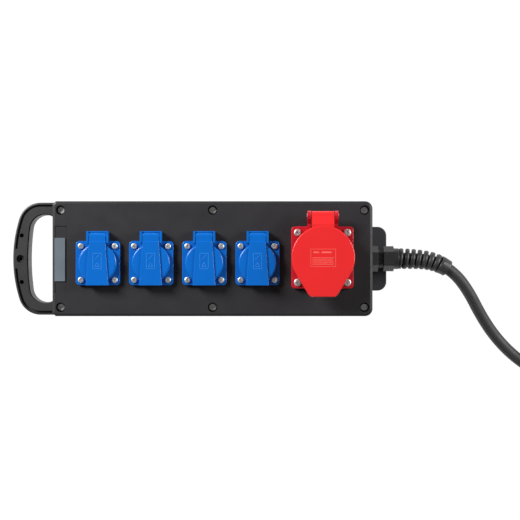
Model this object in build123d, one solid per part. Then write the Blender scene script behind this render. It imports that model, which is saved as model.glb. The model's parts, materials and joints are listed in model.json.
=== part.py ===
"""Portable power distribution box lying on its back, lid up.

Four 16 A earthed sockets and one 16 A five-pole socket under sprung flaps, a carrying
handle on one end, and a heavy rubber lead with a five-pole plug on the other end.

Units are millimetres. The origin is the middle of the back face. +Z points out of the
lid, +X from the handle to the cable gland, +Y towards the flaps' hinges.
"""
from build123d import *
import os
from math import cos, pi, radians, sin, tan

# ---- driving dimensions -------------------------------------------------------------
BOX_L, BOX_W, BOX_H = 362.0, 130.0, 86.0
LID_H = 20.0
BASE_H = BOX_H - LID_H
BASE_WALL, LID_WALL, LID_TOP = 3.5, 5.0, 4.0
CORNER_R, CORNER_CUT = 8.5, 3.5
SEAL_W, SEAL_D, SEAL_IN = 2.0, 2.0, 1.6

SCREW_XY = [(x, y) for x in (-172.0, 0.0, 172.0) for y in (-55.0, 55.0)]
SCREW_SINK_R, SCREW_SINK_D = 5.3, 9.0
BOSS_R, BOSS_H, INSERT_R, INSERT_H, RIB_H = 6.0, 17.0, 3.2, 10.0, 1.8

LABEL_X, LABEL_Y, LABEL_W, LABEL_L, LABEL_T = -172.6, -1.0, 11.8, 49.0, 1.3
POCKET_X, POCKET_W, POCKET_L, POCKET_D = -171.6, 14.0, 76.0, 0.8

# carrying handle
GRIP_OUT, GRIP_IN = -232.5, -215.0
GRIP_LOW, GRIP_HIGH = 24.0, 50.0
GRIP_OUT_R, GRIP_OUT_CORNER = 155.0, 26.0
GRIP_IN_R, GRIP_IN_CORNER, GRIP_IN_HALF = 270.0, 17.5, 51.0
GRIP_HOLE_X, GRIP_PILOT_X, GRIP_PILOT_Y = -224.0, -222.3, 27.0
GRIP_HOLE_R, GRIP_SINK_R, GRIP_SINK_D, GRIP_PILOT_R = 2.0, 4.5, 4.0, 2.4
GRIP_HOLE_LOW, GRIP_PILOT_LOW = 28.0, 34.0
GROOVE_IN, GROOVE_W, GROOVE_D, GROOVE_GAP = 2.2, 2.6, 4.5, 11.3
GRIP_SCREWS = [(y, z) for y in (-55.0, 55.0) for z in (30.0, 42.0)]

# end bumper
BUMPER_X, BUMPER_HALF, BUMPER_H, BUMPER_R = 202.9, 37.7, 22.0, 10.5
BUMPER_SCREW_Y, BUMPER_SCREW_Z = 23.0, 11.0

# flange gaskets and earthed sockets
FLANGE_GASKET = 1.0
FLANGE_FOOT = BOX_H + FLANGE_GASKET
SOCKET_X = [-129.0, -69.0, -9.0, 51.0]
SOCKET_Y = -5.0
S_FLANGE, S_FLANGE_T, S_FLANGE_R, S_PITCH = 50.0, 3.5, 4.5, 38.0
S_FACE = FLANGE_FOOT + S_FLANGE_T
S_CUP_R, S_WELL_R, S_WELL_D, S_CUP_FLOOR = 21.5, 19.6, 17.5, 54.0
S_PIN_HALF, S_PIN_R = 9.5, 2.6
S_HINGE_Y, S_HINGE_Z, S_HINGE_R, S_HINGE_PIN_R = 31.0, S_FACE + 3.5, 3.0, 1.3
S_FRAME_W, S_SLOT_W, S_TONGUE_W, S_FRAME_END, S_FRAME_START = 24.7, 19.6, 18.4, 36.0, 22.4
S_FLAP_R, S_FLAP_TOP, S_BAND_TOP = 21.75, S_FACE + 6.0, S_FACE + 7.6
S_BAND_END, S_BAND_W = -25.2, 25.6
FLAP_SEAL_T, SEAL_GAP = 0.8, 0.1

# five-pole socket
C_X, C_Y = 124.0, 1.3
C_FLANGE, C_FLANGE_T, C_FLANGE_R, C_PITCH = 70.0, 5.0, 4.0, 56.0
C_FACE = FLANGE_FOOT + C_FLANGE_T
C_BARREL_R, C_BORE_R, C_BARREL_TOP, C_BARREL_FOOT = 29.0, 25.25, 104.0, 56.0
C_NOSE_R, C_NOSE_TOP, C_CARRIER_FOOT = 19.25, 99.0, 48.0
POLE_CIRCLE, POLE_R, EARTH_R = 11.2, 2.5, 3.0
C_HINGE_Y, C_HINGE_Z, C_HINGE_R, C_HINGE_PIN_R = 47.0, 102.5, 4.9, 2.0
C_NECK_W, C_EAR_IN, C_EAR_OUT = 24.9, 13.2, 17.2
C_FLAP_R, C_FLAP_FOOT, C_FLAP_TOP, C_SKIRT_FOOT = 35.4, 105.5, 111.0, 100.5
C_TAB_END, C_TAB_W = -44.0, 29.5

# gland, bend protection and lead
GLAND_Z, CABLE_R = 40.0, 7.0
GLAND_HEX, GLAND_THREAD_R, LOCK_HEX = 25.9, 12.4, 32.0
NUT_HEX, NUT_CORNER_R, NUT_THREAD_R, COLLAR_R = 26.2, 14.65, 11.4, 12.1
GLAND_OUT, GLAND_GAP, NUT_START, NUT_END, COLLAR_END = 182.5, 191.0, 197.2, 209.2, 215.2
THREAD_PITCH, THREAD_D = 1.5, 1.0
SLEEVE_R, SLEEVE_PLAY, SLEEVE_END = 10.9, 0.35, (276.4, -14.1, 36.2)
CABLE_FREE_X = 217.0

CORD_ROUTE = [
    (217.0, 0.0, 40.0), (242.0, 0.0, 40.0), (265.5, -6.2, 38.4), (284.6, -20.0, 34.6),
    (300.0, -40.5, 28.4), (314.0, -66.0, 20.6), (332.0, -92.0, 13.2), (355.5, -116.0, 8.4),
    (384.0, -135.0, 7.2), (418.0, -147.0, 7.0), (454.0, -150.6, 7.0),
]
COIL_X, COIL_Y = 462.0, -69.2
COIL_MID_R, TURN_PITCH, TURN_RISE = 74.0, 14.4, 14.2
CORD_END_ROUTE = [
    (543.2, -69.2, 21.2), (546.5, -50.0, 20.8), (548.0, -22.8, 16.65), (548.0, 5.0, 19.87),
]
PLUG_TILT = 6.6
PLUG_NUT_R, PLUG_NUT_L, PLUG_REAR_END, PLUG_R = 20.0, 22.0, 76.0, 29.0
PLUG_SLEEVE_R, PLUG_SLEEVE_IN, PLUG_L = 25.0, 21.5, 134.0

# terminal block and wires
BLOCK_X0, BLOCK_X1, BLOCK_HALF, BLOCK_TOP = 112.0, 140.0, 31.0, 23.5
WAY_PITCH, WIRE_R, TAIL_X = 12.0, 1.6, 150.0

os.makedirs("parts", exist_ok=True)


# ---- helpers --------------------------------------------------------------------------
def column(x, y, z0, z1, r):
    """Upright cylinder from z0 to z1."""
    return Pos(x, y, (z0 + z1) / 2) * Cylinder(r, z1 - z0)


def ring(x, y, z0, z1, r_out, r_in):
    """Upright tube from z0 to z1."""
    return column(x, y, z0, z1, r_out) - column(x, y, z0, z1, r_in)


def rod_x(x0, x1, y, z, r):
    """Cylinder along X."""
    return Pos((x0 + x1) / 2, y, z) * Rot(0, 90, 0) * Cylinder(r, x1 - x0)


def block(x0, x1, y0, y1, z0, z1):
    """Box between two corners."""
    return Pos((x0 + x1) / 2, (y0 + y1) / 2, (z0 + z1) / 2) * Box(x1 - x0, y1 - y0, z1 - z0)


def prism_x(x0, x1, points):
    """Outline in the YZ plane, extruded along X."""
    outline = Plane(origin=(x0, 0, 0), x_dir=(0, 1, 0), z_dir=(1, 0, 0)) * Polygon(*points, align=None)
    return extrude(outline, x1 - x0, dir=(1, 0, 0))


def hex_x(x0, x1, y, z, across_flats):
    """Hexagonal prism along X with flats facing +Y and -Y."""
    face = Plane(origin=(x0, y, z), x_dir=(0, 0, 1), z_dir=(1, 0, 0))
    outline = RegularPolygon(across_flats / 2, 6, major_radius=False, rotation=30)
    return extrude(face * outline, x1 - x0)


def plate(x, y, z0, z1, width, length, r):
    """Rounded plate between z0 and z1."""
    return Pos(x, y, z0) * extrude(RectangleRounded(width, length, r), z1 - z0)


def spots(pitch):
    """The four corners of a square hole pattern."""
    return [(sx * pitch / 2, sy * pitch / 2) for sx in (-1, 1) for sy in (-1, 1)]


def box_outline(inset=0.0):
    """Plan of the housing: round corners at the lead's end, cut corners at the handle."""
    outline = Rectangle(BOX_L - 2 * inset, BOX_W - 2 * inset)
    ends = outline.vertices().group_by(Axis.X)
    outline = fillet(ends[-1], CORNER_R - inset)
    return chamfer(outline.vertices().group_by(Axis.X)[0], max(CORNER_CUT - inset / 2, 0.8))


def box_slab(z0, z1, inset=0.0):
    """Housing outline extruded between two heights."""
    return Pos(0, 0, z0) * extrude(box_outline(inset), z1 - z0)


def cross_screw(head_r, head_h, shank_r, shank_l):
    """Pan head screw at the origin: the head above z = 0, the shank below, a cross recess on top."""
    head = column(0, 0, 0, head_h, head_r)
    head = fillet(head.edges().group_by(Axis.Z)[-1], head_h * 0.55)
    cut = block(-head_r * 0.55, head_r * 0.55, -0.45, 0.45, head_h * 0.35, head_h)
    head = head - cut - Rot(0, 0, 90) * cut
    return head + column(0, 0, -shank_l, 0, shank_r)


def save(node, *solids):
    """Write one sub-part, a single solid or a group of separate ones."""
    shape = solids[0] if len(solids) == 1 else Compound(children=list(solids))
    shape.label = node
    export_step(shape, f"parts/{node}.step")


def moved_copies(shape, places):
    """The same solid at several places."""
    return [Pos(*place) * shape for place in places]


# ---- housing --------------------------------------------------------------------------
def base_shell():
    shell = box_slab(0, BASE_H)
    shell = fillet(shell.edges().group_by(Axis.Z)[0], 3.0)
    shell -= box_slab(BASE_WALL, BASE_H, BASE_WALL)
    for x, y in SCREW_XY:
        shell += column(x, y, BASE_H - BOSS_H, BASE_H, BOSS_R)
        web = (y, BOX_W / 2 - 1) if y > 0 else (1 - BOX_W / 2, y)
        shell += block(x - 2, x + 2, *web, BASE_H - BOSS_H, BASE_H)
    for x in (-115.0, -35.0, 45.0):
        shell += block(x - 1, x + 1, -BOX_W / 2 + BASE_WALL, BOX_W / 2 - BASE_WALL, BASE_WALL, BASE_WALL + RIB_H)
    for x, y in SCREW_XY:
        shell -= column(x, y, BASE_H - INSERT_H - 4, BASE_H, INSERT_R)
    shell -= rod_x(BOX_L / 2 - 6, BOX_L / 2 + 1, 0, GLAND_Z, GLAND_THREAD_R + 0.2)
    for y, z in GRIP_SCREWS:
        shell -= rod_x(-BOX_L / 2 - 1, -BOX_L / 2 + 6, y, z, 2.75)
    for y in (-BUMPER_SCREW_Y, BUMPER_SCREW_Y):
        shell -= rod_x(BOX_L / 2 - 6, BOX_L / 2 + 1, y, BUMPER_SCREW_Z, 2.2)
    return shell


def lid():
    cover = box_slab(BASE_H, BOX_H)
    cover = chamfer(cover.edges().group_by(Axis.Z)[-1], 1.3, 2.6)
    cover -= box_slab(BASE_H, BOX_H - LID_TOP, LID_WALL)
    for x, y in SCREW_XY:
        cover += column(x, y, BASE_H, BOX_H - 1.5, SCREW_SINK_R + 1.9)
    for x, y in SCREW_XY:
        cover -= column(x, y, BOX_H - SCREW_SINK_D, BOX_H + 1, SCREW_SINK_R)
        cover -= column(x, y, BASE_H - 1, BOX_H, 2.3)
    cover -= seal_track(BASE_H, BASE_H + SEAL_D)
    cover -= block(POCKET_X - POCKET_W / 2, POCKET_X + POCKET_W / 2, LABEL_Y - POCKET_L / 2,
                   LABEL_Y + POCKET_L / 2, BOX_H - POCKET_D, BOX_H + 1)
    for x in SOCKET_X:
        cover -= column(x, SOCKET_Y, BOX_H - 6, BOX_H + 1, S_CUP_R + 0.5)
        for dx, dy in spots(S_PITCH):
            cover -= column(x + dx, SOCKET_Y + dy, BOX_H - 6, BOX_H + 1, 1.6)
    cover -= column(C_X, C_Y, BOX_H - 6, BOX_H + 1, C_BARREL_R + 0.5)
    for dx, dy in spots(C_PITCH):
        cover -= column(C_X + dx, C_Y + dy, BOX_H - 6, BOX_H + 1, 2.1)
    return cover


def seal_track(z0, z1):
    """Ring that the lid seal fills, just inside the housing's outer wall."""
    track = box_slab(z0, z1, SEAL_IN) - box_slab(z0, z1, SEAL_IN + SEAL_W)
    return track


def lid_screw():
    """Cheese head screw with a slot, standing in the lid's deep hole."""
    head = column(0, 0, 0, 3.2, 4.2)
    head = fillet(head.edges().group_by(Axis.Z)[-1], 0.6)
    head -= block(-5, 5, -0.6, 0.6, 1.9, 4)
    return head + column(0, 0, -19.0, 0, 1.9)


def threaded_insert():
    return ring(0, 0, -INSERT_H, 0, INSERT_R - 0.02, 1.95)


# ---- handle ---------------------------------------------------------------------------
def grip_outline(inset=0.0):
    """Upper half of the grip's outer edge, from the housing to the middle of the bar."""
    r_big, r_small = GRIP_OUT_R - inset, GRIP_OUT_CORNER - inset
    half = BOX_W / 2
    cx_big = GRIP_OUT + GRIP_OUT_R
    cy = half - GRIP_OUT_CORNER
    cx = cx_big - ((GRIP_OUT_R - GRIP_OUT_CORNER) ** 2 - cy**2) ** 0.5
    lean = pi - Vector(cx - cx_big, cy).get_angle(Vector(-1, 0)) * pi / 180
    start = (-BOX_L / 2, half - inset)
    top = (cx, half - inset)
    meet = (cx_big + r_big * cos(lean), r_big * sin(lean))
    mid_turn = (pi / 2 + lean) / 2
    corner_mid = (cx + r_small * cos(mid_turn), cy + r_small * sin(mid_turn))
    bar_mid = (cx_big + r_big * cos((lean + pi) / 2), r_big * sin((lean + pi) / 2))
    end = (cx_big - r_big, 0)
    return [start, top, corner_mid, meet, bar_mid, end]


def grip_opening():
    """Upper half of the finger opening's edge, from the housing to the middle of the bar."""
    cx_big = GRIP_IN + GRIP_IN_R
    cy = GRIP_IN_HALF - GRIP_IN_CORNER
    cx = cx_big - ((GRIP_IN_R - GRIP_IN_CORNER) ** 2 - cy**2) ** 0.5
    lean = pi - Vector(cx - cx_big, cy).get_angle(Vector(-1, 0)) * pi / 180
    flare = radians(38)
    start = (-BOX_L / 2, cy + GRIP_IN_CORNER * sin(flare) + 1.2)
    first = (cx + GRIP_IN_CORNER * cos(flare), cy + GRIP_IN_CORNER * sin(flare))
    meet = (cx_big + GRIP_IN_R * cos(lean), GRIP_IN_R * sin(lean))
    mid_turn = (flare + lean) / 2
    corner_mid = (cx + GRIP_IN_CORNER * cos(mid_turn), cy + GRIP_IN_CORNER * sin(mid_turn))
    bar_mid = (cx_big + GRIP_IN_R * cos((lean + pi) / 2), GRIP_IN_R * sin((lean + pi) / 2))
    end = (GRIP_IN, 0)
    return [start, first, corner_mid, meet, bar_mid, end]


def half_face(points):
    """Face between half an outline and the housing's end wall, mirrored to both halves."""
    start, first, corner_mid, meet, bar_mid, end = points
    edges = Curve() + [
        Line((-BOX_L / 2, 0), start),
        Line(start, first),
        ThreePointArc(first, corner_mid, meet),
        ThreePointArc(meet, bar_mid, end),
        Line(end, (-BOX_L / 2, 0)),
    ]
    upper = make_face(edges)
    return upper + mirror(upper, Plane.XZ)


def handle():
    outer = Pos(0, 0, GRIP_LOW) * extrude(half_face(grip_outline()), GRIP_HIGH - GRIP_LOW)
    rims = outer.edges().filter_by(lambda e: abs(e.center().Z - GRIP_LOW) < 0.01 or abs(e.center().Z - GRIP_HIGH) < 0.01)
    rims = rims.filter_by(lambda e: e.center().X < -BOX_L / 2 - 0.1)
    outer = fillet(rims, 1.6)
    opening = Pos(0, 0, GRIP_LOW - 1) * extrude(half_face(grip_opening()), GRIP_HIGH - GRIP_LOW + 2)
    body = outer - opening
    inner_rims = body.edges().filter_by(
        lambda e: (abs(e.center().Z - GRIP_LOW) < 0.01 or abs(e.center().Z - GRIP_HIGH) < 0.01)
        and -GRIP_IN_HALF - 0.5 < e.center().Y < GRIP_IN_HALF + 0.5
        and e.center().X < -BOX_L / 2 - 0.1
    )
    body = chamfer(inner_rims, 1.2)
    groove = half_face(grip_outline(GROOVE_IN)) - half_face(grip_outline(GROOVE_IN + GROOVE_W))
    gap = block(GRIP_OUT - 1, GRIP_IN + 1, -GROOVE_GAP, GROOVE_GAP, -1, 1 + GRIP_HIGH)
    for z in (GRIP_HIGH - GROOVE_D, GRIP_LOW):
        body -= Pos(0, 0, z) * extrude(groove, GROOVE_D) - gap
    body -= column(GRIP_HOLE_X, 0, GRIP_HOLE_LOW, GRIP_HIGH + 1, GRIP_HOLE_R)
    body -= column(GRIP_HOLE_X, 0, GRIP_HIGH - GRIP_SINK_D, GRIP_HIGH + 1, GRIP_SINK_R)
    for y in (-GRIP_PILOT_Y, GRIP_PILOT_Y):
        body -= column(GRIP_PILOT_X, y, GRIP_PILOT_LOW, GRIP_HIGH + 1, GRIP_PILOT_R)
    for y, z in GRIP_SCREWS:
        body -= rod_x(-BOX_L / 2 - 14, -BOX_L / 2 + 1, y, z, 2.5)
    return body


def wall_screw(direction, x_seat, y, z, head_r, head_h, shank_r, shank_l):
    """Screw along X whose head stands on x_seat; its shank points along direction."""
    head = rod_x(x_seat, x_seat - direction * head_h, y, z, head_r) if direction < 0 else \
        rod_x(x_seat - head_h, x_seat, y, z, head_r)
    shank = rod_x(x_seat - shank_l, x_seat, y, z, shank_r) if direction < 0 else \
        rod_x(x_seat, x_seat + shank_l, y, z, shank_r)
    socket_x = x_seat + head_h if direction < 0 else x_seat - head_h
    drive = rod_x(socket_x - 1.5, socket_x + 1.5, y, z, head_r * 0.45)
    return head + shank - drive


# ---- end bumper -----------------------------------------------------------------------
def end_bumper():
    foot = block(BOX_L / 2, BUMPER_X, -BUMPER_HALF, BUMPER_HALF, 0, BUMPER_H)
    corners = foot.edges().filter_by(Axis.Z).group_by(Axis.X)[-1]
    foot = fillet(corners, BUMPER_R)
    foot = fillet(foot.edges().group_by(Axis.Z)[-1].filter_by(lambda e: e.center().X > BOX_L / 2 + 0.1), 1.5)
    for y in (-BUMPER_SCREW_Y, BUMPER_SCREW_Y):
        foot -= rod_x(BOX_L / 2 - 1, BUMPER_X + 1, y, BUMPER_SCREW_Z, 2.6)
        foot -= rod_x(BOX_L / 2 + 10, BUMPER_X + 1, y, BUMPER_SCREW_Z, 5.0)
    return foot


# ---- earthed sockets (each drawn about its own centre) ---------------------------------
def socket_body():
    flange = plate(0, 0, FLANGE_FOOT, S_FACE, S_FLANGE, S_FLANGE, S_FLANGE_R)
    flange = fillet(flange.edges().group_by(Axis.Z)[-1], 0.8)
    body = flange + column(0, 0, S_CUP_FLOOR, FLANGE_FOOT, S_CUP_R)
    frame = block(-S_FRAME_W / 2, S_FRAME_W / 2, S_FRAME_START, S_FRAME_END, FLANGE_FOOT, S_HINGE_Z + 2.8)
    frame = fillet(frame.edges().filter_by(Axis.Z).group_by(Axis.Y)[-1], 1.2)
    frame -= block(-S_SLOT_W / 2, S_SLOT_W / 2, S_FRAME_START - 1, S_FRAME_END - 1.6, S_FACE, S_HINGE_Z + 4)
    frame -= block(-S_SLOT_W / 2, S_SLOT_W / 2, S_FRAME_START, S_FRAME_END + 1, S_HINGE_Z, S_HINGE_Z + 4)
    body += frame
    body -= rod_x(-S_FRAME_W / 2 - 1, S_FRAME_W / 2 + 1, S_HINGE_Y, S_HINGE_Z, S_HINGE_PIN_R + 0.02)
    well_floor = S_FACE - S_WELL_D
    body -= column(0, 0, well_floor, S_FACE + 1, S_WELL_R)
    for x in (-S_PIN_HALF, S_PIN_HALF):
        body -= column(x, 0, well_floor - 2, well_floor + 1, S_PIN_R)
        body -= column(x, 0, S_CUP_FLOOR - 1, well_floor - 2, 3.3)
    for y in (-1, 1):
        body -= block(-2.6, 2.6, y * 18.0 - 0.6, y * 18.0 + 0.6, S_CUP_FLOOR - 1, well_floor + 1)
    for dx, dy in spots(S_PITCH):
        body -= column(dx, dy, FLANGE_FOOT - 1, S_FACE + 1, 1.7)
    return body


def spring_room(half, r, y, z):
    """Room in a flap's knuckle for the torsion spring, open at the bottom."""
    return rod_x(-half, half, y, z, r) + block(-half, half, y - r, y + r, z - 3 * r, z)


def socket_flap():
    foot = S_FACE + FLAP_SEAL_T + SEAL_GAP
    disc = column(0, 0, foot, S_FLAP_TOP, S_FLAP_R)
    disc = fillet(disc.edges().group_by(Axis.Z)[-1], 2.2)
    top_half, end_half = S_TONGUE_W / 2, S_BAND_W / 2
    plan = Polygon((-top_half, 24.5), (-end_half, S_BAND_END), (end_half, S_BAND_END), (top_half, 24.5), align=None)
    band = Pos(0, 0, foot) * extrude(plan, S_BAND_TOP - foot)
    band = fillet(band.edges().group_by(Axis.Z)[-1], 0.7)
    tongue = block(-top_half, top_half, 20.0, S_HINGE_Y, S_HINGE_Z - S_HINGE_R + 0.6, S_HINGE_Z + S_HINGE_R)
    tongue += rod_x(-top_half, top_half, S_HINGE_Y, S_HINGE_Z, S_HINGE_R)
    flap = disc + band + tongue
    flap -= column(0, 0, foot - 1, foot + 3.2, S_WELL_R - 0.2)
    flap -= rod_x(-top_half - 1, top_half + 1, S_HINGE_Y, S_HINGE_Z, S_HINGE_PIN_R + 0.05)
    flap -= spring_room(3.6, 2.35, S_HINGE_Y, S_HINGE_Z)
    return flap


def socket_flap_seal():
    foot = S_FACE + SEAL_GAP
    return ring(0, 0, foot, foot + FLAP_SEAL_T, S_FLAP_R - 0.4, S_WELL_R + 0.1)


def coil_spring(length, mid_r, wire_r, turns):
    """Torsion spring's coil along X, centred on the origin."""
    path = Helix(pitch=length / turns, height=length, radius=mid_r)
    section = Plane(origin=path @ 0, z_dir=path % 0) * Circle(wire_r)
    return Rot(0, 90, 0) * Pos(0, 0, -length / 2) * sweep(section, path=path)


def socket_contact(x):
    """Springy brass sleeve for one plug pin."""
    top = S_FACE - S_WELL_D - 2.1
    return ring(x, 0, S_CUP_FLOOR + 1, top, 3.2, 2.45)


def earth_clip():
    """Strip across the socket's underside with two arms up the well's walls."""
    arms = block(-2.4, 2.4, 17.55, 18.35, S_CUP_FLOOR - 1.0, S_FACE - 4)
    arms += block(-2.4, 2.4, -18.35, -17.55, S_CUP_FLOOR - 1.0, S_FACE - 4)
    return arms + block(-2.4, 2.4, -18.35, 18.35, S_CUP_FLOOR - 1.8, S_CUP_FLOOR - 0.1)


# ---- five-pole socket (drawn about its own centre) --------------------------------------
def pole_spots():
    """Centres of the five poles; the first one is earth."""
    return [(POLE_CIRCLE * cos(radians(-90 + 72 * i)), POLE_CIRCLE * sin(radians(-90 + 72 * i))) for i in range(5)]


def ear(side):
    """Hinge ear: rises from the flange and leans out over its edge to hold the pin."""
    profile = [(26.0, C_FACE - 1), (34.8, C_FACE - 1), (45.5, 97.2), (51.4, 100.2), (52.2, 103.6),
               (50.4, 107.0), (46.6, 108.2), (42.8, 106.4), (38.2, 99.0), (26.0, 97.4)]
    x0, x1 = sorted((side * C_EAR_IN, side * C_EAR_OUT))
    return prism_x(x0, x1, profile)


def cee_body():
    flange = plate(0, 0, FLANGE_FOOT, C_FACE, C_FLANGE, C_FLANGE, C_FLANGE_R)
    flange = fillet(flange.edges().group_by(Axis.Z)[-1], 1.0)
    body = flange + column(0, 0, C_BARREL_FOOT, C_BARREL_TOP, C_BARREL_R)
    body += ear(-1) + ear(1)
    body -= column(0, 0, C_BARREL_FOOT - 1, C_BARREL_TOP + 1, C_BORE_R)
    body += column(0, 0, C_BARREL_FOOT, C_BARREL_FOOT + 4, C_BARREL_R)
    body -= column(0, 0, C_BARREL_FOOT - 1, C_BARREL_FOOT + 5, C_NOSE_R + 0.05)
    body -= block(-3.2, 3.2, -C_BORE_R - 1.8, -C_BORE_R + 1, C_BARREL_FOOT + 6, C_BARREL_TOP + 1)
    body -= rod_x(-C_EAR_OUT - 1, C_EAR_OUT + 1, C_HINGE_Y, C_HINGE_Z, C_HINGE_PIN_R + 0.02)
    for dx, dy in spots(C_PITCH):
        body -= column(dx, dy, FLANGE_FOOT - 1, C_FACE + 1, 2.2)
    return body


def cee_insert():
    """Contact carrier: the nose that a plug's sleeve slides over, held in the barrel's floor."""
    nose = column(0, 0, C_CARRIER_FOOT, C_NOSE_TOP, C_NOSE_R)
    nose = chamfer(nose.edges().group_by(Axis.Z)[-1], 0.8)
    for i, (x, y) in enumerate(pole_spots()):
        hole_r = (EARTH_R if i == 0 else POLE_R) + 0.3
        nose -= column(x, y, C_NOSE_TOP - 6, C_NOSE_TOP + 1, hole_r)
        nose -= column(x, y, C_CARRIER_FOOT - 1, C_NOSE_TOP - 6, 4.1)
    return nose


def cee_contact(i, x, y):
    bore = (EARTH_R if i == 0 else POLE_R) + 0.05
    return ring(x, y, C_CARRIER_FOOT + 1, C_NOSE_TOP - 6.1, 4.0, bore)


def flap_plan(r, end, tab_w):
    """Round flap whose sides run straight into a narrower tab."""
    tab = Polygon((-tab_w / 2 - 1.5, end + 2.5), (-tab_w / 2 + 1.5, end), (tab_w / 2 - 1.5, end),
                  (tab_w / 2 + 1.5, end + 2.5), (0.83 * r, -0.557 * r), (-0.83 * r, -0.557 * r), align=None)
    return Circle(r) + tab


def cee_flap():
    top = Pos(0, 0, C_FLAP_FOOT) * extrude(flap_plan(C_FLAP_R, C_TAB_END, C_TAB_W), C_FLAP_TOP - C_FLAP_FOOT)
    top = fillet(top.edges().group_by(Axis.Z)[-1], 1.4)
    neck = block(-C_NECK_W / 2, C_NECK_W / 2, 26, C_HINGE_Y, C_HINGE_Z - 0.5, C_HINGE_Z + C_HINGE_R)
    neck += rod_x(-C_NECK_W / 2, C_NECK_W / 2, C_HINGE_Y, C_HINGE_Z, C_HINGE_R)
    neck += prism_x(-C_NECK_W / 2, C_NECK_W / 2, [
        (28, C_FLAP_FOOT), (C_HINGE_Y, C_FLAP_FOOT), (C_HINGE_Y, C_HINGE_Z + C_HINGE_R),
        (37, C_FLAP_TOP - 0.4), (28, C_FLAP_TOP - 0.4)])
    skirt = ring(0, 0, C_SKIRT_FOOT, C_FLAP_FOOT, C_FLAP_R - 0.6, C_FLAP_R - 3.0)
    flap = top + neck + skirt
    flap -= column(0, 0, C_SKIRT_FOOT - 3, C_FLAP_FOOT, C_FLAP_R - 3.0)
    flap -= rod_x(-C_NECK_W, C_NECK_W, C_HINGE_Y, C_HINGE_Z, C_HINGE_PIN_R + 0.05)
    flap -= spring_room(6, 3.7, C_HINGE_Y, C_HINGE_Z)
    return flap


def cee_flap_seal():
    return ring(0, 0, C_BARREL_TOP + SEAL_GAP, C_FLAP_FOOT, C_BARREL_R + 0.8, C_BORE_R + 0.2)


# ---- gland ------------------------------------------------------------------------------
def gland_body():
    body = rod_x(BOX_L / 2 - 12, GLAND_OUT + 1, 0, GLAND_Z, GLAND_THREAD_R)
    body += hex_x(GLAND_OUT, GLAND_GAP, 0, GLAND_Z, GLAND_HEX)
    body += rod_x(GLAND_OUT, NUT_START + 8, 0, GLAND_Z, NUT_THREAD_R)
    body -= rod_x(BOX_L / 2 - 13, NUT_START + 9, 0, GLAND_Z, CABLE_R + 0.6)
    for i in range(4):
        x = GLAND_GAP + 0.3 + i * THREAD_PITCH
        body -= rod_x(x, x + 0.9, 0, GLAND_Z, NUT_THREAD_R + 1) - rod_x(x, x + 0.9, 0, GLAND_Z, NUT_THREAD_R - THREAD_D)
    return body - rod_x(GLAND_GAP + 1.7, NUT_START + 9, 0, GLAND_Z, 9.5)


def gland_cap_nut():
    nut = hex_x(NUT_START, NUT_END, 0, GLAND_Z, NUT_HEX) & rod_x(NUT_START, NUT_END, 0, GLAND_Z, NUT_CORNER_R)
    collar = rod_x(NUT_END, COLLAR_END, 0, GLAND_Z, COLLAR_R)
    collar = fillet(collar.edges().group_by(Axis.X)[-1], 1.0)
    nut += collar
    nut -= rod_x(NUT_START - 1, NUT_START + 8.1, 0, GLAND_Z, NUT_THREAD_R + 0.05)
    return nut - rod_x(NUT_START, COLLAR_END + 1, 0, GLAND_Z, CABLE_R + 0.5)


# ---- lead -------------------------------------------------------------------------------
def route_radii(points):
    """Largest arc that each corner's two runs leave room for."""
    radii = []
    for a, b, c in zip(points, points[1:], points[2:]):
        run_in, run_out = Vector(*b) - Vector(*a), Vector(*c) - Vector(*b)
        half_turn = radians(run_in.get_angle(run_out)) / 2
        radii.append(0.45 * min(run_in.length, run_out.length) / tan(half_turn))
    return radii


def tube(points, r):
    """Round tube along straight runs and tangent arcs; also gives the path's length."""
    path = FilletPolyline(*points, radius=route_radii(points))
    section = Plane(origin=path @ 0, z_dir=path % 0) * Circle(r)
    return sweep(section, path=path), path.length


def coil():
    """Outer shape of the put-away turns: two side by side on the floor and two on top of them."""
    width, height = 2 * CABLE_R + TURN_PITCH, 2 * CABLE_R + TURN_RISE
    face = Plane.XZ * Pos(COIL_MID_R, height / 2) * RectangleRounded(width, height, CABLE_R - 0.5)
    return Pos(COIL_X, COIL_Y, 0) * revolve(face, Axis.Z, 360)


# ---- plug on the lead (local +Z runs out of its front) -----------------------------------
def plug_place():
    x, y, z = CORD_END_ROUTE[-1]
    tilt = radians(PLUG_TILT)
    return Plane(origin=(x, y, z), x_dir=(1, 0, 0), z_dir=(0, cos(tilt), sin(tilt))).location


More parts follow.
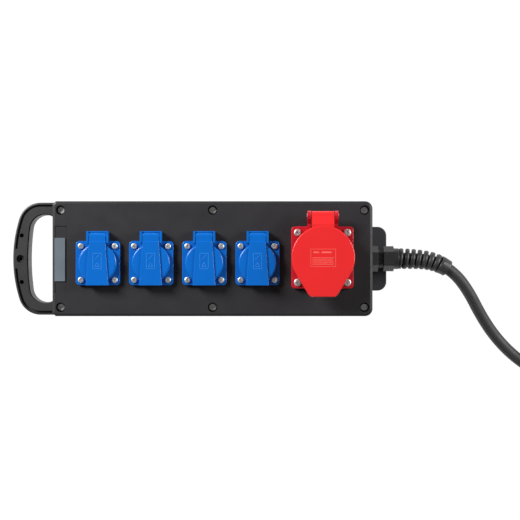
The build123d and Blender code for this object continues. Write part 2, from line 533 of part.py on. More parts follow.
def plug_parts():
    nut = column(0, 0, 0, PLUG_NUT_L, PLUG_NUT_R)
    nut = chamfer(nut.edges().group_by(Axis.Z)[0], 1.5, 1.5)
    for i in range(10):
        spot = Rot(0, 0, 36 * i + 18) * Pos(PLUG_NUT_R + 1.2, 0, PLUG_NUT_L / 2)
        nut -= spot * Cylinder(2.2, PLUG_NUT_L + 2)
    nut -= column(0, 0, -1, PLUG_NUT_L + 1, CABLE_R + 0.3)
    rear = Pos(0, 0, (PLUG_NUT_L + PLUG_REAR_END) / 2) * Cone(21.0, 27.0, PLUG_REAR_END - PLUG_NUT_L)
    rear -= Pos(0, 0, (PLUG_NUT_L + PLUG_REAR_END) / 2 + 2) * Cone(17.5, 23.5, PLUG_REAR_END - PLUG_NUT_L - 3)
    rear -= column(0, 0, PLUG_NUT_L - 1, PLUG_REAR_END + 1, CABLE_R + 0.3)
    rear -= column(0, 0, PLUG_REAR_END - 5, PLUG_REAR_END + 1, 22.6)
    front = column(0, 0, PLUG_REAR_END, PLUG_REAR_END + 20, PLUG_R)
    front = fillet(front.edges(), 1.5)
    front += column(0, 0, PLUG_REAR_END + 15, PLUG_L, PLUG_SLEEVE_R)
    front -= column(0, 0, PLUG_REAR_END - 1, PLUG_L + 1, PLUG_SLEEVE_IN)
    front += block(-2.6, 2.6, -PLUG_SLEEVE_R - 1.5, -PLUG_SLEEVE_R + 1, PLUG_REAR_END + 15, PLUG_L - 4)
    carrier = column(0, 0, PLUG_REAR_END - 4, PLUG_REAR_END + 12, PLUG_SLEEVE_IN - 0.1)
    pins = []
    for i, (x, y) in enumerate(pole_spots()):
        r = EARTH_R if i == 0 else POLE_R
        carrier -= column(x, y, PLUG_REAR_END - 6, PLUG_REAR_END + 14, r + 0.05)
        pin = column(x, y, PLUG_REAR_END - 6, PLUG_L - 6, r)
        pins.append(fillet(pin.edges().group_by(Axis.Z)[-1], r * 0.5))
    return {"plug_gland_nut": [nut], "plug_rear": [rear], "plug_front": [front],
            "plug_carrier": [carrier], "plug_pins": pins}


# ---- terminal block and wires -------------------------------------------------------------
def way_y(i):
    return (i - 2) * WAY_PITCH


def terminal_block():
    body = block(BLOCK_X0, BLOCK_X1, -BLOCK_HALF, BLOCK_HALF, BASE_WALL, BLOCK_TOP - 3)
    for i in range(5):
        body += block(BLOCK_X0 + 2, BLOCK_X1 - 2, way_y(i) - 5, way_y(i) + 5, BLOCK_TOP - 4, BLOCK_TOP)
        body -= column((BLOCK_X0 + BLOCK_X1) / 2, way_y(i), BLOCK_TOP - 8, BLOCK_TOP + 1, 2.6)
    return body


def block_screw(i):
    return column((BLOCK_X0 + BLOCK_X1) / 2, way_y(i), BLOCK_TOP - 8, BLOCK_TOP - 1, 2.5)


def supply_wire(i):
    """From one core of the lead to its way in the terminal block."""
    turn = radians([162, 234, 90, 306, 18][i])
    core_y, core_z = -4.4 * abs(cos(turn)) * (1 if i < 2 else -1 if i > 2 else 0), GLAND_Z + 4.4 * sin(turn)
    points = [(TAIL_X, core_y, core_z), (TAIL_X - 4, core_y, core_z), (BLOCK_X1 - 6, way_y(i), 33), (BLOCK_X1 - 6, way_y(i), BLOCK_TOP)]
    path = FilletPolyline(*points, radius=2.0)
    return sweep(Plane(origin=path @ 0, z_dir=path % 0) * Circle(WIRE_R), path=path)


def cee_wire(i):
    """From the terminal block up to one contact of the five-pole socket."""
    pole = pole_spots()[[0, 4, 1, 3, 2][i]]
    points = [(BLOCK_X0 + 6, way_y(i), BLOCK_TOP), (BLOCK_X0 + 6, way_y(i), BLOCK_TOP + 7),
              (C_X + pole[0], C_Y + pole[1], C_CARRIER_FOOT - 7), (C_X + pole[0], C_Y + pole[1], C_CARRIER_FOOT)]
    path = FilletPolyline(*points, radius=2.0)
    return sweep(Plane(origin=path @ 0, z_dir=path % 0) * Circle(WIRE_R), path=path)


def socket_wire(socket, pole):
    """From the terminal block along the floor and up to one terminal of an earthed socket."""
    x = SOCKET_X[socket] + (-S_PIN_HALF, 0.0, S_PIN_HALF)[pole]
    y = SOCKET_Y + (-7.0, 0.0, 7.0)[pole]
    z = 7.5 + 4.0 * socket
    top = S_CUP_FLOOR - (1.8 if pole == 1 else 0)
    path = FilletPolyline((BLOCK_X0, y, z), (x, y, z), (x, y, top), radius=3.0)
    return sweep(Plane(origin=path @ 0, z_dir=path % 0) * Circle(WIRE_R), path=path)


# ---- build and write every sub-part --------------------------------------------------------
save("base_shell", base_shell())
save("lid", lid())
save("lid_gasket", seal_track(BASE_H, BASE_H + SEAL_D))
save("lid_screws", *moved_copies(lid_screw(), [(x, y, BOX_H - SCREW_SINK_D) for x, y in SCREW_XY]))
save("threaded_inserts", *moved_copies(threaded_insert(), [(x, y, BASE_H) for x, y in SCREW_XY]))
save("label_plate", plate(LABEL_X, LABEL_Y, BOX_H - POCKET_D, BOX_H - POCKET_D + LABEL_T, LABEL_W, LABEL_L, 0.4))
save("handle", handle())
save("handle_screws", *[wall_screw(-1, -BOX_L / 2 + BASE_WALL, y, z, 4.0, 3.0, 2.45, 16.0) for y, z in GRIP_SCREWS])
save("end_bumper", end_bumper())
save("bumper_screws", *[wall_screw(-1, BOX_L / 2 + 10, y, BUMPER_SCREW_Z, 4.6, 4.0, 2.1, 16.0)
                        for y in (-BUMPER_SCREW_Y, BUMPER_SCREW_Y)])

socket_places = [(x, SOCKET_Y, 0) for x in SOCKET_X]
body_shape, flap_shape, seal_shape = socket_body(), socket_flap(), socket_flap_seal()
for number, place in enumerate(socket_places, 1):
    save(f"schuko_body_{number}", Pos(*place) * body_shape)
    save(f"schuko_flap_{number}", Pos(*place) * flap_shape)
    save(f"schuko_flap_seal_{number}", Pos(*place) * seal_shape)
save("schuko_hinge_pins", *moved_copies(
    rod_x(-S_FRAME_W / 2 + 0.3, S_FRAME_W / 2 - 0.3, S_HINGE_Y, S_HINGE_Z, S_HINGE_PIN_R), socket_places))
small_spring = Pos(0, S_HINGE_Y, S_HINGE_Z) * coil_spring(5.6, 1.85, 0.3, 6)
save("schuko_springs", *moved_copies(small_spring, socket_places))
save("schuko_contacts", *[Pos(*place) * socket_contact(x) for place in socket_places for x in (-S_PIN_HALF, S_PIN_HALF)])
save("schuko_earth_clips", *moved_copies(earth_clip(), socket_places))
flange_screw = cross_screw(3.5, 2.3, 1.5, 9.0)
save("schuko_flange_screws", *[Pos(x + dx, SOCKET_Y + dy, S_FACE) * flange_screw
                               for x in SOCKET_X for dx, dy in spots(S_PITCH)])


def flange_gasket(x, y, size, r, hole_r, pitch, screw_r):
    gasket = plate(x, y, BOX_H, FLANGE_FOOT, size - 1, size - 1, r) - column(x, y, BOX_H - 1, FLANGE_FOOT + 1, hole_r)
    for dx, dy in spots(pitch):
        gasket -= column(x + dx, y + dy, BOX_H - 1, FLANGE_FOOT + 1, screw_r)
    return gasket


save("flange_gaskets",
     *[flange_gasket(x, SOCKET_Y, S_FLANGE, S_FLANGE_R, S_CUP_R + 0.5, S_PITCH, 1.7) for x in SOCKET_X],
     flange_gasket(C_X, C_Y, C_FLANGE, C_FLANGE_R, C_BARREL_R + 0.5, C_PITCH, 2.2))

cee_place = Pos(C_X, C_Y, 0)
save("cee_body", cee_place * cee_body())
save("cee_insert", cee_place * cee_insert())
save("cee_contacts", *[cee_place * cee_contact(i, x, y) for i, (x, y) in enumerate(pole_spots())])
save("cee_flap", cee_place * cee_flap())
save("cee_flap_seal", cee_place * cee_flap_seal())
save("cee_hinge_pin", cee_place * rod_x(-C_EAR_OUT - 0.8, C_EAR_OUT + 0.8, C_HINGE_Y, C_HINGE_Z, C_HINGE_PIN_R))
save("cee_spring", cee_place * Pos(0, C_HINGE_Y, C_HINGE_Z) * coil_spring(10.0, 2.9, 0.5, 7))
wide_screw = cross_screw(4.2, 2.8, 2.0, 12.0)
save("cee_flange_screws", *[Pos(C_X + dx, C_Y + dy, C_FACE) * wide_screw for dx, dy in spots(C_PITCH)])

save("gland_body", gland_body())
save("gland_gasket", rod_x(BOX_L / 2, GLAND_OUT, 0, GLAND_Z, 13.8) - rod_x(BOX_L / 2, GLAND_OUT, 0, GLAND_Z, 12.5))
locknut_x = BOX_L / 2 - BASE_WALL
save("gland_locknut", hex_x(locknut_x - 6, locknut_x, 0, GLAND_Z, LOCK_HEX)
     - rod_x(locknut_x - 7, locknut_x + 1, 0, GLAND_Z, GLAND_THREAD_R + 0.05))
save("gland_seal_insert", rod_x(GLAND_GAP + 1.8, NUT_START + 8, 0, GLAND_Z, 9.4)
     - rod_x(GLAND_GAP, NUT_START + 9, 0, GLAND_Z, CABLE_R + 0.05))
save("gland_cap_nut", gland_cap_nut())
save("cable_tail", rod_x(TAIL_X, CABLE_FREE_X, 0, GLAND_Z, CABLE_R))

sleeve_solid, _ = tube([(COLLAR_END, 0.0, GLAND_Z), *CORD_ROUTE[1:3], SLEEVE_END], SLEEVE_R)
sleeve_bore, _ = tube(CORD_ROUTE[:5], CABLE_R + SLEEVE_PLAY)
sleeve_bore += rod_x(COLLAR_END - 1, CABLE_FREE_X, 0, GLAND_Z, CABLE_R + SLEEVE_PLAY)
save("bend_spiral", sleeve_solid - sleeve_bore)

cord_solid, cord_length = tube(CORD_ROUTE, CABLE_R)
end_solid, end_length = tube(CORD_END_ROUTE, CABLE_R)
save("cord_run", cord_solid)
save("cord_end", end_solid)
save("cord_coil", coil())
for name, shape, length, points in (("cord_run", cord_solid, cord_length, CORD_ROUTE),
                                    ("cord_end", end_solid, end_length, CORD_END_ROUTE)):
    wanted = pi * CABLE_R**2 * length
    print(f"{name}: length {length:.1f}, volume {shape.volume:.0f} against {wanted:.0f}")
    print("  radii", [round(r) for r in route_radii(points)])

place = plug_place()
for node, solids in plug_parts().items():
    save(node, *[place * solid for solid in solids])

save("terminal_block", terminal_block())
save("terminal_screws", *[block_screw(i) for i in range(5)])
socket_phase = (0, 1, 4, 0)
for i, node in enumerate(("wire_l1", "wire_l2", "wire_neutral", "wire_earth", "wire_l3")):
    solids = [supply_wire(i), cee_wire(i)]
    for number, phase in enumerate(socket_phase):
        if i == 2:
            solids.append(socket_wire(number, 2))
        elif i == 3:
            solids.append(socket_wire(number, 1))
        elif i == phase:
            solids.append(socket_wire(number, 0))
    save(node, *solids)
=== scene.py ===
"""Looks of the portable power distribution box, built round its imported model.

Lengths are metres, in the model's frame: the box lies on its back on the floor, lid up,
handle at -X, cable gland at +X, flap hinges towards +Y.
"""
import json
from math import cos, pi, radians, sin

import bmesh
import bpy
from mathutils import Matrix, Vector


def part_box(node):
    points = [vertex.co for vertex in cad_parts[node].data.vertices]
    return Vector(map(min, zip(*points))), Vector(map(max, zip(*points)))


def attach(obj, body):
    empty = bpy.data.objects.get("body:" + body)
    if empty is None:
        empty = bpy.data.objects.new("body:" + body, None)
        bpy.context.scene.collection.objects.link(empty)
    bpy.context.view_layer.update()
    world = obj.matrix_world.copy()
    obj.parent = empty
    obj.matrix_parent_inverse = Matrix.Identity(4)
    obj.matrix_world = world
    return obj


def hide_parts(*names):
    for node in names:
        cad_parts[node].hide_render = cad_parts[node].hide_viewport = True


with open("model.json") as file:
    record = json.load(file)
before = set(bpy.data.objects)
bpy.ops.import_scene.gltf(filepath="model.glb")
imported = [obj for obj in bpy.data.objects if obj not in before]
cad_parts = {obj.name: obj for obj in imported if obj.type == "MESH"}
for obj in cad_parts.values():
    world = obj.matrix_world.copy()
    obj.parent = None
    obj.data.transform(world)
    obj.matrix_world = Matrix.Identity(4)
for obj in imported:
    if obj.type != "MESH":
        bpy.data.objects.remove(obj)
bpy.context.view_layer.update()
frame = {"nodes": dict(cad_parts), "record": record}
MM = 0.001
HOUSING = "housing"

# ---- places read from the frame --------------------------------------------------------
LID_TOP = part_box("lid")[1][2]
SOCKETS = [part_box(f"schuko_flap_seal_{i}") for i in range(1, 5)]
SOCKET_MIDS = [((lo[0] + hi[0]) / 2, (lo[1] + hi[1]) / 2) for lo, hi in SOCKETS]
BAND_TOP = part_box("schuko_flap_1")[1][2]
CEE_LOW, CEE_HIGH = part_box("cee_flap_seal")
CEE_MID = ((CEE_LOW[0] + CEE_HIGH[0]) / 2, (CEE_LOW[1] + CEE_HIGH[1]) / 2)
CEE_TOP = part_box("cee_flap")[1][2]

# ---- the lead ----------------------------------------------------------------------------
CABLE_D = 14.0 * MM
CORD_ROUTE = [
    (217.0, 0.0, 40.0), (242.0, 0.0, 40.0), (265.5, -6.2, 38.4), (284.6, -20.0, 34.6),
    (300.0, -40.5, 28.4), (314.0, -66.0, 20.6), (332.0, -92.0, 13.2), (355.5, -116.0, 8.4),
    (384.0, -135.0, 7.2), (418.0, -147.0, 7.0), (454.0, -150.6, 7.0),
]
CORD_END_ROUTE = [(546.5, -50.0, 20.8), (548.0, -22.8, 16.65), (548.0, 5.0, 19.87)]
COIL_MID = (462.0, -69.2)
COIL_R_KEYS = [(-90, 81.2), (180, 81.2), (265, 66.8), (760, 66.8), (855, 81.2), (1080, 81.2)]
COIL_Z_KEYS = [(-90, 7.0), (500, 7.0), (560, 21.2), (1080, 21.2)]
COIL_STEP = 22.5


def eased(keys, x):
    """Value between (place, value) keys, with smooth changes."""
    for (x0, v0), (x1, v1) in zip(keys, keys[1:]):
        if x <= x1:
            t = max(0.0, (x - x0) / (x1 - x0))
            return v0 + (v1 - v0) * t * t * (3 - 2 * t)
    return keys[-1][1]


def coil_points():
    """Turns of the put-away length: two on the floor, then one and a bit on top of them."""
    grow = 2 / (1 + cos(radians(COIL_STEP / 2)))
    points = []
    angle = -90 + COIL_STEP / 2
    while angle < 1080:
        r = eased(COIL_R_KEYS, angle) * grow
        turn = radians(angle)
        points.append((
            COIL_MID[0] + r * cos(turn), COIL_MID[1] + r * sin(turn), eased(COIL_Z_KEYS, angle)))
        angle += COIL_STEP
    return points


def nurbs_curve(name, points_mm, radius):
    """Open smooth curve near the points with a round section.

    The bevel is one metre deep and each point's radius scales it down to the section, because a
    curve's reported box grows by the points' radius.
    """
    data = bpy.data.curves.new(name, "CURVE")
    data.dimensions = "3D"
    data.resolution_u = 10
    data.bevel_depth = 1.0
    data.bevel_resolution = 8
    data.use_fill_caps = True
    spline = data.splines.new("NURBS")
    spline.points.add(len(points_mm) - 1)
    for point, (x, y, z) in zip(spline.points, points_mm):
        point.co = (x * MM, y * MM, z * MM, 1)
        point.radius = radius
    spline.order_u = 3
    spline.use_endpoint_u = True
    obj = bpy.data.objects.new(name, data)
    bpy.context.scene.collection.objects.link(obj)
    return obj


def centreline(curve):
    """Points along a curve's own line."""
    depth, curve.data.bevel_depth = curve.data.bevel_depth, 0.0
    bpy.context.view_layer.update()
    graph = bpy.context.evaluated_depsgraph_get()
    mesh = bpy.data.meshes.new_from_object(curve.evaluated_get(graph))
    curve.data.bevel_depth = depth
    points = [v.co.copy() for v in mesh.vertices]
    bpy.data.meshes.remove(mesh)
    return points


# ---- mesh helpers --------------------------------------------------------------------------
def mesh_object(name, bm, material, smooth=True):
    mesh = bpy.data.meshes.new(name)
    bmesh.ops.recalc_face_normals(bm, faces=bm.faces)
    bm.to_mesh(mesh)
    bm.free()
    for face in mesh.polygons:
        face.use_smooth = smooth
    mesh.materials.append(material)
    obj = bpy.data.objects.new(name, mesh)
    bpy.context.scene.collection.objects.link(obj)
    return obj


class Path:
    """A line in space with a steady frame of directions along it."""

    def __init__(self, points):
        self.points = points
        self.at = [0.0]
        for a, b in zip(points, points[1:]):
            self.at.append(self.at[-1] + (b - a).length)

    def place(self, s):
        """Point and directions (along, side, up) at distance s; before the start it runs straight on."""
        points, at = self.points, self.at
        i = 0
        while i < len(at) - 2 and at[i + 1] < s:
            i += 1
        a, b = points[i], points[i + 1]
        along = (b - a).normalized()
        if 0 < i and i + 2 < len(points):
            t = (s - at[i]) / max(at[i + 1] - at[i], 1e-9)
            before = (points[i] - points[i - 1]).normalized()
            after = (points[i + 2] - points[i + 1]).normalized()
            start, end = (before + along).normalized(), (along + after).normalized()
            direction = (start * (1 - t) + end * t).normalized()
        else:
            direction = along
        point = a + along * (s - at[i])
        side = Vector((0, 0, 1)).cross(direction).normalized()
        return point, direction, side, direction.cross(side)


def skin(bm, path, sections, closed=False):
    """Skin over sections along a path; each point is (distance along, radius, angle round the path)."""
    loops = []
    for section in sections:
        verts = []
        for s, r, angle in section:
            point, _, side, up = path.place(s)
            verts.append(bm.verts.new(point + (side * cos(angle) + up * sin(angle)) * r))
        loops.append(verts)
    following = loops[1:] + (loops[:1] if closed else [])
    for a, b in zip(loops, following):
        for i in range(len(a)):
            j = (i + 1) % len(a)
            bm.faces.new((a[i], a[j], b[j], b[i]))
    if not closed:
        bm.faces.new(loops[0])
        bm.faces.new(loops[-1])


def collar_round(bm, path, profile_mm):
    """Closed ring round the path with the given (distance along, radius) section."""
    around = 64
    turns = [2 * pi * k / around for k in range(around)]
    skin(bm, path, [[(s * MM, r * MM, angle) for s, r in profile_mm] for angle in turns], closed=True)


# ---- bend-protection spiral: distances from the gland's collar along the cable, in millimetres ------
SPIRAL_START, SPIRAL_END, CUFF_END = -1.6, 49.4, 57.8
SPIRAL_PITCH, SPIRAL_PHASE, BAND_W = 7.0, 159.0, 5.0
SPIRAL_R0, SPIRAL_R1, SPIRAL_BORE = 12.4, 10.6, 7.4
BAND_LOWEST = -1.9


def band_section(r_out):
    """Rounded section of the spiral's band: (offset along, radius), once round."""
    half, depth = BAND_W / 2, r_out - SPIRAL_BORE
    crown = [
        (half * sin(radians(a)), r_out - 0.36 * depth * (1 - cos(radians(a)))) for a in (80, 62, 42, 20)]
    return [(-half, SPIRAL_BORE), (half, SPIRAL_BORE), *crown, *[(-ds, r) for ds, r in reversed(crown)]]


def bend_spiral(path, material):
    """One flexible band wound round the cable, from the cap nut's collar to a plain cuff."""
    bm = bmesh.new()
    length = SPIRAL_END - SPIRAL_START
    steps = int(length / SPIRAL_PITCH * 36)
    sections = []
    for i in range(steps + 1):
        t = i / steps
        angle = radians(SPIRAL_PHASE) - 2 * pi * length * t / SPIRAL_PITCH
        band = band_section(SPIRAL_R0 + (SPIRAL_R1 - SPIRAL_R0) * t)
        sections.append([
            (max(SPIRAL_START + length * t + ds, BAND_LOWEST) * MM, r * MM, angle) for ds, r in band])
    skin(bm, path, sections)
    collar_round(bm, path, [
        (-1.7, SPIRAL_BORE), (-1.7, 11.4), (-1.3, 11.8), (0.6, 11.8), (1.0, 11.4), (1.0, SPIRAL_BORE)])
    collar_round(bm, path, [
        (SPIRAL_END - 2.4, SPIRAL_BORE), (SPIRAL_END - 2.4, 9.9), (SPIRAL_END - 1.6, 10.4),
        (SPIRAL_END + 1.5, 10.2),
        (CUFF_END - 2.0, 9.8), (CUFF_END - 0.4, 9.9), (CUFF_END, 9.6), (CUFF_END, 9.1), (CUFF_END - 5.0, 7.7)])
    return mesh_object("bend_spiral_band", bm, material)


# ---- raised marks on the flaps ------------------------------------------------------------------
def add_bar(bm, x0, y0, x1, y1, z, width, height):
    """Low raised bar with sloping sides between two points at height z."""
    along = Vector((x1 - x0, y1 - y0, 0))
    side = Vector((-along.y, along.x, 0)).normalized() * (width / 2)
    unit = along.normalized()
    corners = []
    for lift, shrink in ((-0.15 * MM, 0.0), (height, width * 0.22)):
        inset = side.normalized() * shrink
        ends = unit * shrink
        a, b = Vector((x0, y0, z + lift)), Vector((x1, y1, z + lift))
        corners.append([bm.verts.new(v) for v in (
            a + ends + side - inset, a + ends - side + inset,
            b - ends - side + inset, b - ends + side - inset)])
    low, high = corners
    bm.faces.new(low)
    bm.faces.new(high)
    for i in range(4):
        bm.faces.new((low[i], low[(i + 1) % 4], high[(i + 1) % 4], high[i]))


def add_frame(bm, x, y, z, width, height, line, rise):
    """Rectangle drawn with raised lines."""
    w, h, k = width / 2, height / 2, line / 2
    add_bar(bm, x - w - k, y + h, x + w + k, y + h, z, line, rise)
    add_bar(bm, x - w - k, y - h, x + w + k, y - h, z, line, rise)
    add_bar(bm, x - w, y - h + k, x - w, y + h - k, z, line, rise)
    add_bar(bm, x + w, y - h + k, x + w, y + h - k, z, line, rise)


def socket_mark(index, material):
    """Plain symbol field on a small flap: a frame, a slanted stroke and a blank triangle."""
    x, y = SOCKET_MIDS[index]
    bm = bmesh.new()
    line, rise = 0.7 * MM, 0.3 * MM
    y_mid = y + 2.2 * MM
    add_frame(bm, x, y_mid, BAND_TOP, 9.4 * MM, 17.4 * MM, line, rise)
    add_bar(bm, x - 2.4 * MM, y_mid + 1.8 * MM, x + 2.4 * MM, y_mid + 6.6 * MM, BAND_TOP, line, rise)
    add_bar(bm, x - 2.6 * MM, y_mid - 6.2 * MM, x + 2.6 * MM, y_mid - 6.2 * MM, BAND_TOP, line, rise)
    add_bar(bm, x - 2.6 * MM, y_mid - 6.2 * MM, x, y_mid - 1.8 * MM, BAND_TOP, line, rise)
    add_bar(bm, x + 2.6 * MM, y_mid - 6.2 * MM, x, y_mid - 1.8 * MM, BAND_TOP, line, rise)
    obj = mesh_object(f"socket_mark_{index + 1}", bm, material, smooth=False)
    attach(obj, f"flap_{index + 1}")
    return obj


def cee_mark(material):
    """Plain field of lines on the large flap."""
    x, y = CEE_MID
    bm = bmesh.new()
    line, rise = 0.6 * MM, 0.22 * MM
    add_frame(bm, x, y - 0.5 * MM, CEE_TOP, 27.6 * MM, 19.4 * MM, line, rise)
    for k, (x0, x1) in enumerate(((-12.0, 12.0), (-12.0, 10.5), (-12.0, 11.5), (-12.0, 12.0))):
        level = y - (0.6 + 2.3 * k) * MM
        add_bar(bm, x + x0 * MM, level, x + x1 * MM, level, CEE_TOP, 1.0 * MM, rise)
    for x0, x1 in ((-11.0, -5.0), (-2.0, 9.5)):
        add_bar(bm, x + x0 * MM, y + 5.6 * MM, x + x1 * MM, y + 5.6 * MM, CEE_TOP, 2.2 * MM, rise)
    obj = mesh_object("cee_mark", bm, material, smooth=False)
    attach(obj, "cee_flap")
    return obj


# ---- materials ------------------------------------------------------------------------------------
def new_material(name):
    material = bpy.data.materials.new(name)
    material.use_nodes = True
    tree = material.node_tree
    return material, tree, tree.nodes["Principled BSDF"]


def noise(tree, scale, detail, roughness=0.55):
    coords = tree.nodes.new("ShaderNodeTexCoord")
    node = tree.nodes.new("ShaderNodeTexNoise")
    node.inputs["Scale"].default_value = scale
    node.inputs["Detail"].default_value = detail
    node.inputs["Roughness"].default_value = roughness
    tree.links.new(coords.outputs["Object"], node.inputs["Vector"])
    return node


def ramp(tree, source, low, high, c0, c1):
    node = tree.nodes.new("ShaderNodeValToRGB")
    node.color_ramp.elements[0].position = low
    node.color_ramp.elements[1].position = high
    node.color_ramp.elements[0].color = (*c0, 1)
    node.color_ramp.elements[1].color = (*c1, 1)
    tree.links.new(source, node.inputs["Fac"])
    return node


def bump(tree, shader, source, strength, distance):
    node = tree.nodes.new("ShaderNodeBump")
    node.inputs["Strength"].default_value = strength
    node.inputs["Distance"].default_value = distance
    tree.links.new(source, node.inputs["Height"])
    tree.links.new(node.outputs["Normal"], shader.inputs["Normal"])


def moulded(name, colour, spread, rough, grain_scale, grain, specular=0.5):
    """Moulded plastic or rubber: slightly uneven colour and gloss over a fine grain."""
    material, tree, shader = new_material(name)
    cloudy = noise(tree, 18, 4)
    dark = tuple(max(c * (1 - spread), 0.0) for c in colour)
    light = tuple(min(c * (1 + spread), 1.0) for c in colour)
    shade = ramp(tree, cloudy.outputs["Fac"], 0.3, 0.7, dark, light)
    tree.links.new(shade.outputs["Color"], shader.inputs["Base Color"])
    smudge = noise(tree, 55, 5, 0.65)
    smooth, dull = (rough * 0.86,) * 3, (min(rough * 1.14, 1.0),) * 3
    gloss = ramp(tree, smudge.outputs["Fac"], 0.25, 0.75, smooth, dull)
    tree.links.new(gloss.outputs["Color"], shader.inputs["Roughness"])
    fine = noise(tree, grain_scale, 2)
    bump(tree, shader, fine.outputs["Fac"], grain, 0.0002)
    shader.inputs["Specular IOR Level"].default_value = specular
    return material


def metal(name, colour, rough):
    """Plated or turned metal with faint scratches."""
    material, tree, shader = new_material(name)
    shader.inputs["Metallic"].default_value = 1.0
    cloudy = noise(tree, 140, 4)
    shade = ramp(tree, cloudy.outputs["Fac"], 0.3, 0.7, tuple(c * 0.88 for c in colour), colour)
    tree.links.new(shade.outputs["Color"], shader.inputs["Base Color"])
    worn = noise(tree, 220, 3)
    gloss = ramp(tree, worn.outputs["Fac"], 0.3, 0.7, (rough * 0.8,) * 3, (rough * 1.25,) * 3)
    tree.links.new(gloss.outputs["Color"], shader.inputs["Roughness"])
    bump(tree, shader, worn.outputs["Fac"], 0.15, 0.0001)
    return material


MATERIALS = {
    "housing_black": moulded("housing_black", (0.022, 0.0205, 0.023), 0.06, 0.5, 2600, 0.35, 0.35),
    "handle_black": moulded("handle_black", (0.036, 0.036, 0.036), 0.06, 0.42, 2200, 0.3, 0.5),
    "bumper_rubber": moulded("bumper_rubber", (0.047, 0.048, 0.054), 0.08, 0.7, 1800, 0.4, 0.35),
    "seal_rubber": moulded("seal_rubber", (0.018, 0.018, 0.018), 0.1, 0.75, 1500, 0.3, 0.3),
    "zinc_steel": metal("zinc_steel", (0.88, 0.88, 0.86), 0.46),
    "spring_steel": metal("spring_steel", (0.62, 0.62, 0.62), 0.3),
    "brass": metal("brass", (0.80, 0.62, 0.30), 0.25),
    "earth_strip": metal("earth_strip", (0.74, 0.74, 0.72), 0.3),
    "label_grey": moulded("label_grey", (0.135, 0.165, 0.19), 0.07, 0.38, 1200, 0.1, 0.4),
    "socket_blue": moulded("socket_blue", (0.001, 0.128, 0.520), 0.05, 0.24, 1700, 0.08, 0.4),
    # flange_red is a darker copy of the flap's socket_red: painted shade standing for the shadow the flap
    # casts on the flange.
    "flange_red": moulded("flange_red", (0.56, 0.010, 0.022), 0.03, 0.3, 1700, 0.08, 0.4),
    "socket_red": moulded("socket_red", (0.77, 0.022, 0.024), 0.03, 0.28, 1700, 0.08, 0.4),
    # The marks' lighter blue and red are painted highlight, standing for the light that the raised lines
    # catch.
    "blue_mark_painted_highlight": moulded("blue_mark_painted_highlight", (0.040, 0.270, 0.780), 0.05, 0.3, 1700, 0.08, 0.4),
    "red_mark_painted_highlight": moulded("red_mark_painted_highlight", (0.92, 0.150, 0.125), 0.03, 0.3, 1700, 0.08, 0.4),
    "insert_grey": moulded("insert_grey", (0.36, 0.38, 0.40), 0.06, 0.5, 1500, 0.2),
    "plug_dark": moulded("plug_dark", (0.05, 0.05, 0.055), 0.08, 0.5, 2200, 0.3),
    "gland_black": moulded("gland_black", (0.034, 0.034, 0.035), 0.08, 0.42, 1600, 0.2, 0.5),
    "cable_rubber": moulded("cable_rubber", (0.034, 0.034, 0.035), 0.1, 0.55, 1300, 0.35, 0.45),
    "wire_brown": moulded("wire_brown", (0.20, 0.08, 0.03), 0.08, 0.4, 900, 0.1),
    "wire_black": moulded("wire_black", (0.02, 0.02, 0.02), 0.08, 0.4, 900, 0.1),
    "wire_grey": moulded("wire_grey", (0.30, 0.30, 0.30), 0.08, 0.4, 900, 0.1),
    "wire_blue": moulded("wire_blue", (0.05, 0.15, 0.60), 0.08, 0.4, 900, 0.1),
    "wire_green": moulded("wire_green", (0.25, 0.50, 0.05), 0.2, 0.4, 900, 0.1),
}


def paint_nodes():
    """Give every carried-over node the finish of its slot."""
    for part in frame["record"]["subparts"]:
        node = frame["nodes"][part["node"]]
        node.data.materials.clear()
        node.data.materials.append(MATERIALS[part["material_slot"]])


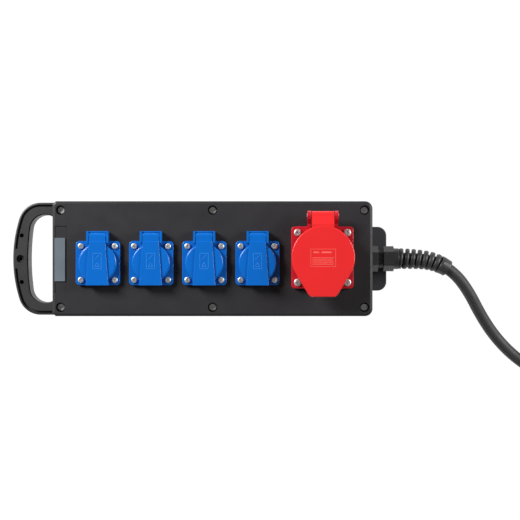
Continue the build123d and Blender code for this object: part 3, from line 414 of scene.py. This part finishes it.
# ---- camera, light and floor ---------------------------------------------------------------------
def camera():
    """Looks straight down on the lid from about a metre and a half."""
    data = bpy.data.cameras.new("camera")
    data.sensor_width = 36.0
    data.lens = 88.8
    data.clip_end = 50
    obj = bpy.data.objects.new("camera", data)
    obj.location = (0.0537, -0.0015, LID_TOP + 1.45)
    obj.rotation_euler = (0, 0, 0)
    bpy.context.scene.collection.objects.link(obj)
    bpy.context.scene.camera = obj


def area_light(name, place, target, size, power):
    data = bpy.data.lights.new(name, "AREA")
    data.shape = "DISK"
    data.size = size
    data.energy = power
    obj = bpy.data.objects.new(name, data)
    obj.location = place
    obj.rotation_euler = (Vector(target) - Vector(place)).to_track_quat("-Z", "Y").to_euler()
    bpy.context.scene.collection.objects.link(obj)


def studio():
    """Lit white table, a low key light from the upper left, a weaker one from the right, a dim room."""
    scene = bpy.context.scene
    scene.view_settings.view_transform = "Standard"
    world = bpy.data.worlds.new("room")
    scene.world = world
    world.use_nodes = True
    background = world.node_tree.nodes["Background"]
    background.inputs["Color"].default_value = (1, 1, 1, 1)
    background.inputs["Strength"].default_value = 0.13
    area_light("key", (-1.25, 0.85, 1.0), (0.0, 0, 0.05), 0.7, 46)
    area_light("side", (1.5, 0.35, 0.75), (0.1, 0, 0.05), 0.8, 22)
    bm = bmesh.new()
    half = 6.0
    corners = ((-half, -half), (half, -half), (half, half), (-half, half))
    bm.faces.new([bm.verts.new((x, y, 0)) for x, y in corners])
    material, _, shader = new_material("floor_white")
    shader.inputs["Base Color"].default_value = (0.02, 0.02, 0.02, 1)
    shader.inputs["Roughness"].default_value = 0.9
    shader.inputs["Specular IOR Level"].default_value = 0.1
    shader.inputs["Emission Color"].default_value = (1, 1, 1, 1)
    shader.inputs["Emission Strength"].default_value = 1.0
    floor = mesh_object("floor", bm, material, smooth=False)


# ---- the scene --------------------------------------------------------------------------------------
camera()
studio()
paint_nodes()

lead = nurbs_curve("lead", CORD_ROUTE + coil_points() + CORD_END_ROUTE, CABLE_D / 2)
lead.data.materials.append(MATERIALS["cable_rubber"])
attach(lead, HOUSING)
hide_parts("cord_run", "cord_coil", "cord_end")
spiral = bend_spiral(Path(centreline(lead)), MATERIALS["gland_black"])
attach(spiral, HOUSING)
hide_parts("bend_spiral")

# The flap marks are raised lines in a lighter blue and red; the lighter colour is painted highlight.
for socket in range(4):
    socket_mark(socket, MATERIALS["blue_mark_painted_highlight"])
cee_mark(MATERIALS["red_mark_painted_highlight"])
